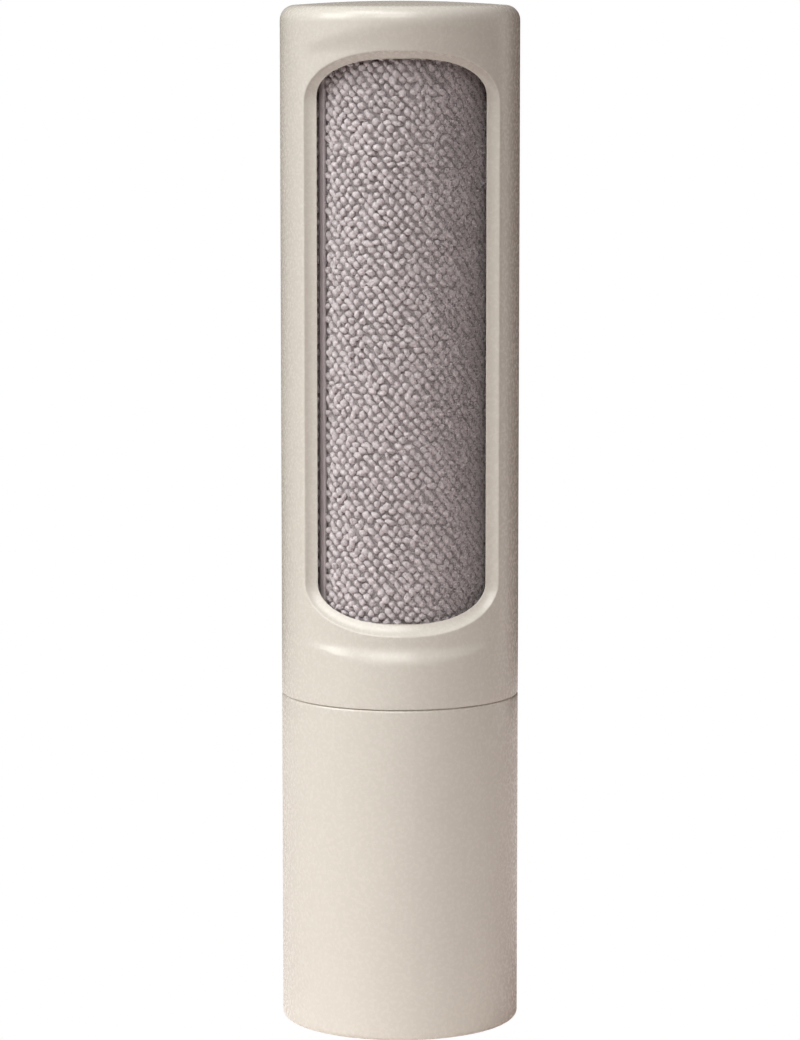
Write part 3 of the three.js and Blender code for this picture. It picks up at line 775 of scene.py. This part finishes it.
def nap_fibres(material):
    """Short tufts that lean over the loops, each a thin three-sided spike, most where the nap is raised."""
    clear = STRIP["slot"] + NAP_CLEAR["strip"]
    angle = np.sort(rng.uniform(STRIP["at"] + clear, STRIP["at"] - clear + 360, NAP_COUNT))
    nap = raised_nap(angle)
    kept = rng.uniform(0, 1, NAP_COUNT) < NAP_LEAST + (1 - NAP_LEAST) * nap**NAP_GROWTH
    angle, nap = angle[kept], nap[kept]
    count = len(angle)
    z = rng.uniform(DRUM_LOW + NAP_CLEAR["ends"], DRUM_HIGH - NAP_CLEAR["ends"], count)
    root = FABRIC_R + rng.uniform(*NAP_ROOT, count) - NAP_SINKS * nap
    length = rng.uniform(*NAP_LENGTH, count)
    lean = [rng.normal(mean, spread, count) for mean, spread in zip(NAP_LEAN, NAP_LEAN_SPREAD)]
    lean = np.stack([*lean, rng.uniform(*NAP_RISE, count)], -1)
    lean *= (length / np.linalg.norm(lean, axis=1))[:, None]
    tip_r = np.minimum(root + lean[:, 2], NAP_REACH)
    thick = rng.uniform(*NAP_THICK, count) * (1 + NAP_THICKENS * nap)
    corners = []
    for k in range(3):
        turn = 2 * np.pi * k / 3
        aside = np.degrees(thick * math.cos(turn) / root)
        corners.append(at(root, angle + aside, z + thick * math.sin(turn)))
    corners.append(at(tip_r, angle + np.degrees(lean[:, 0] / FABRIC_R), z + lean[:, 1]))
    faces = [(0, 2, 1), (0, 1, 3), (1, 2, 3), (2, 0, 3)]
    return in_parts("nap_fibres", 3, np.stack(corners, 1), faces, material)


# ---- CAD nodes that stay ----

WELD_DISTANCE = 0.002
SMOOTH_UNDER = math.radians(28)
BEVEL = 0.08
BEVEL_OVER = math.radians(35)


def smoothing_group():
    """Geometry nodes that weld a faceted mesh and shade it smooth, apart from its real edges."""
    group = bpy.data.node_groups.new("weld_and_smooth", "GeometryNodeTree")
    group.interface.new_socket("Geometry", in_out="INPUT", socket_type="NodeSocketGeometry")
    group.interface.new_socket("Geometry", in_out="OUTPUT", socket_type="NodeSocketGeometry")
    nodes = group.nodes
    start, end = nodes.new("NodeGroupInput"), nodes.new("NodeGroupOutput")
    weld = nodes.new("GeometryNodeMergeByDistance")
    weld.inputs["Distance"].default_value = WELD_DISTANCE * MM
    smooth, sharp = nodes.new("GeometryNodeSetShadeSmooth"), nodes.new("GeometryNodeSetShadeSmooth")
    sharp.domain = "EDGE"
    sharp.inputs["Shade Smooth"].default_value = False
    angle = nodes.new("GeometryNodeInputMeshEdgeAngle")
    over = nodes.new("FunctionNodeCompare")
    over.operation = "GREATER_THAN"
    over.inputs["B"].default_value = SMOOTH_UNDER
    link = group.links.new
    link(start.outputs["Geometry"], weld.inputs["Geometry"])
    link(weld.outputs["Geometry"], smooth.inputs["Geometry"])
    link(smooth.outputs["Geometry"], sharp.inputs["Geometry"])
    link(angle.outputs["Unsigned Angle"], over.inputs["A"])
    link(over.outputs["Result"], sharp.inputs["Selection"])
    link(sharp.outputs["Geometry"], end.inputs["Geometry"])
    return group


def finish_cad_node(name, material, group, rounded_edges):
    """Gives a CAD node its material, smooth shading and, where it has edges, slightly rounded ones."""
    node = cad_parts[name]
    node.data.materials.clear()
    node.data.materials.append(material)
    if "custom_normal" in node.data.attributes:
        node.data.attributes.remove(node.data.attributes["custom_normal"])
    smooth = node.modifiers.new("smooth", "NODES")
    smooth.node_group = group
    if rounded_edges:
        rounding = node.modifiers.new("rounding", "BEVEL")
        rounding.width = BEVEL * MM
        rounding.segments = 2
        rounding.limit_method = "ANGLE"
        rounding.angle_limit = BEVEL_OVER
        rounding.harden_normals = True


# ---- stage, in metres ----

FLOOR_RADII = (0.02, 0.45)  # of the floor's first and last rings
FLOOR_RINGS = 24
FLOOR_SIDES = 96
FLOOR_GLOW = (0.13, 0.065, 0.05)  # colour and strength of the light that the floor gives back
MIDDLE = (0, 0, 0.11)  # where the lights aim
LENS = {"focal": 145.76, "sensor": 36}  # in millimetres, as cameras have it
CAMERA = {"distance": 0.8463, "height": 0.2134, "turn": math.radians(1.4), "tilt": math.radians(7.47)}


def floor():
    skin = Skin()
    angles = np.linspace(0, 360, FLOOR_SIDES + 1)[:-1]
    rings = [skin.ring(at(r / MM, angles, 0.0)) for r in np.linspace(*FLOOR_RADII, FLOOR_RINGS)]
    skin.chain(rings)
    skin.fan(rings[0], (0, 0, 0))
    made = skin.piece("floor", pale_floor())
    if made.data.polygons[0].normal.z < 0:
        made.data.flip_normals()


def softbox(name, place, aim, size, power, color):
    light = bpy.data.lights.new(name, "AREA")
    light.shape = "RECTANGLE"
    light.size, light.size_y = size
    light.energy = power
    light.color = color
    made = bpy.data.objects.new(name, light)
    made.location = place
    made.rotation_euler = (Vector(aim) - Vector(place)).to_track_quat("-Z", "Y").to_euler()
    bpy.context.scene.collection.objects.link(made)


def surroundings(color, strength):
    """White to the camera, and dim and warm to the object."""
    world = bpy.data.worlds.new("studio")
    world.use_nodes = True
    bpy.context.scene.world = world
    nodes, link = world.node_tree.nodes, world.node_tree.links.new
    nodes.clear()
    seen, lit = nodes.new("ShaderNodeBackground"), nodes.new("ShaderNodeBackground")
    lit.inputs["Color"].default_value = (*color, 1)
    lit.inputs["Strength"].default_value = strength
    seen.inputs["Color"].default_value = (1, 1, 1, 1)
    either, path, out = (nodes.new("ShaderNode" + n) for n in ("MixShader", "LightPath", "OutputWorld"))
    link(path.outputs["Is Camera Ray"], either.inputs["Fac"])
    link(lit.outputs["Background"], either.inputs[1])
    link(seen.outputs["Background"], either.inputs[2])
    link(either.outputs["Shader"], out.inputs["Surface"])


def camera():
    data = bpy.data.cameras.new("camera")
    data.lens = LENS["focal"]
    data.sensor_width = LENS["sensor"]
    made = bpy.data.objects.new("camera", data)
    distance, turn, tilt = CAMERA["distance"], CAMERA["turn"], CAMERA["tilt"]
    made.location = (-distance * math.sin(turn), -distance * math.cos(turn), CAMERA["height"])
    look = Vector((math.sin(turn) * math.cos(tilt), math.cos(turn) * math.cos(tilt), -math.sin(tilt)))
    made.rotation_euler = look.to_track_quat("-Z", "Y").to_euler()
    bpy.context.scene.collection.objects.link(made)
    bpy.context.scene.camera = made


# ---- build ----

camera()
bpy.context.scene.view_settings.view_transform = "Standard"
surroundings((1.0, 0.42, 0.28), 0.04)
floor()
softbox("key", (-1.42, -0.46, 1.1), MIDDLE, (1.0, 0.9), 17.6, (0.97, 1, 1))
softbox("front_strip", (-0.22, -1.04, 1.01), MIDDLE, (0.85, 0.23), 4.8, (1, 1, 1))
softbox("front", (-0.42, -0.6, 1.75), MIDDLE, (1.5, 0.7), 19, (1, 1, 1))
softbox("rim", (0.893, 0.416, 0.15), MIDDLE, (0.4, 0.9), 1.0, (1, 0.94, 0.9))

SHELL, INNER, STEEL, ACETAL, RUBBER = satin_shell(), inner_plastic(), turned_steel(), acetal(), rubber()

casing_shell = casing(SHELL)
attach(casing_shell, "casing")
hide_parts("casing")

handle_shell = handle(SHELL)
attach(handle_shell, "handle")
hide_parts("handle_cup")

slot_start, slot_end = STRIP["at"] + STRIP["slot"], STRIP["at"] - STRIP["slot"] + 360
cloth = sleeve("fabric_backing", CLOTH_IN_R, BACKING_R, slot_start, slot_end, 180, backing_cloth())
loops = knit(yarn())
fibres = nap_fibres(nap())
for soft in (cloth, *loops, *fibres):
    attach(soft, "drive")
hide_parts("fabric_cover")

strip_start, strip_end = STRIP["at"] - STRIP["half"], STRIP["at"] + STRIP["half"]
tape = sleeve("seam_tape", CLOTH_IN_R, STRIP["r"], strip_start, strip_end, 8, seam_tape())
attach(tape, "drive")
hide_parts("seam_strip")

WELD = smoothing_group()
CAD_LOOKS = {
    INNER: "drive_collar drum_core drum_cap_lower drum_cap_upper cleaning_comb bearing_plate",
    STEEL: "axle hub_screw drum_pin axle_clip plate_screw_1 plate_screw_2 plate_screw_3",
    ACETAL: "thrust_washer top_bush lower_bush",
    RUBBER: "seal_ring friction_ring base_pad",
}
ROUND_ALL_OVER = ("seal_ring", "friction_ring")
for material, names in CAD_LOOKS.items():
    for name in names.split():
        finish_cad_node(name, material, WELD, name not in ROUND_ALL_OVER)
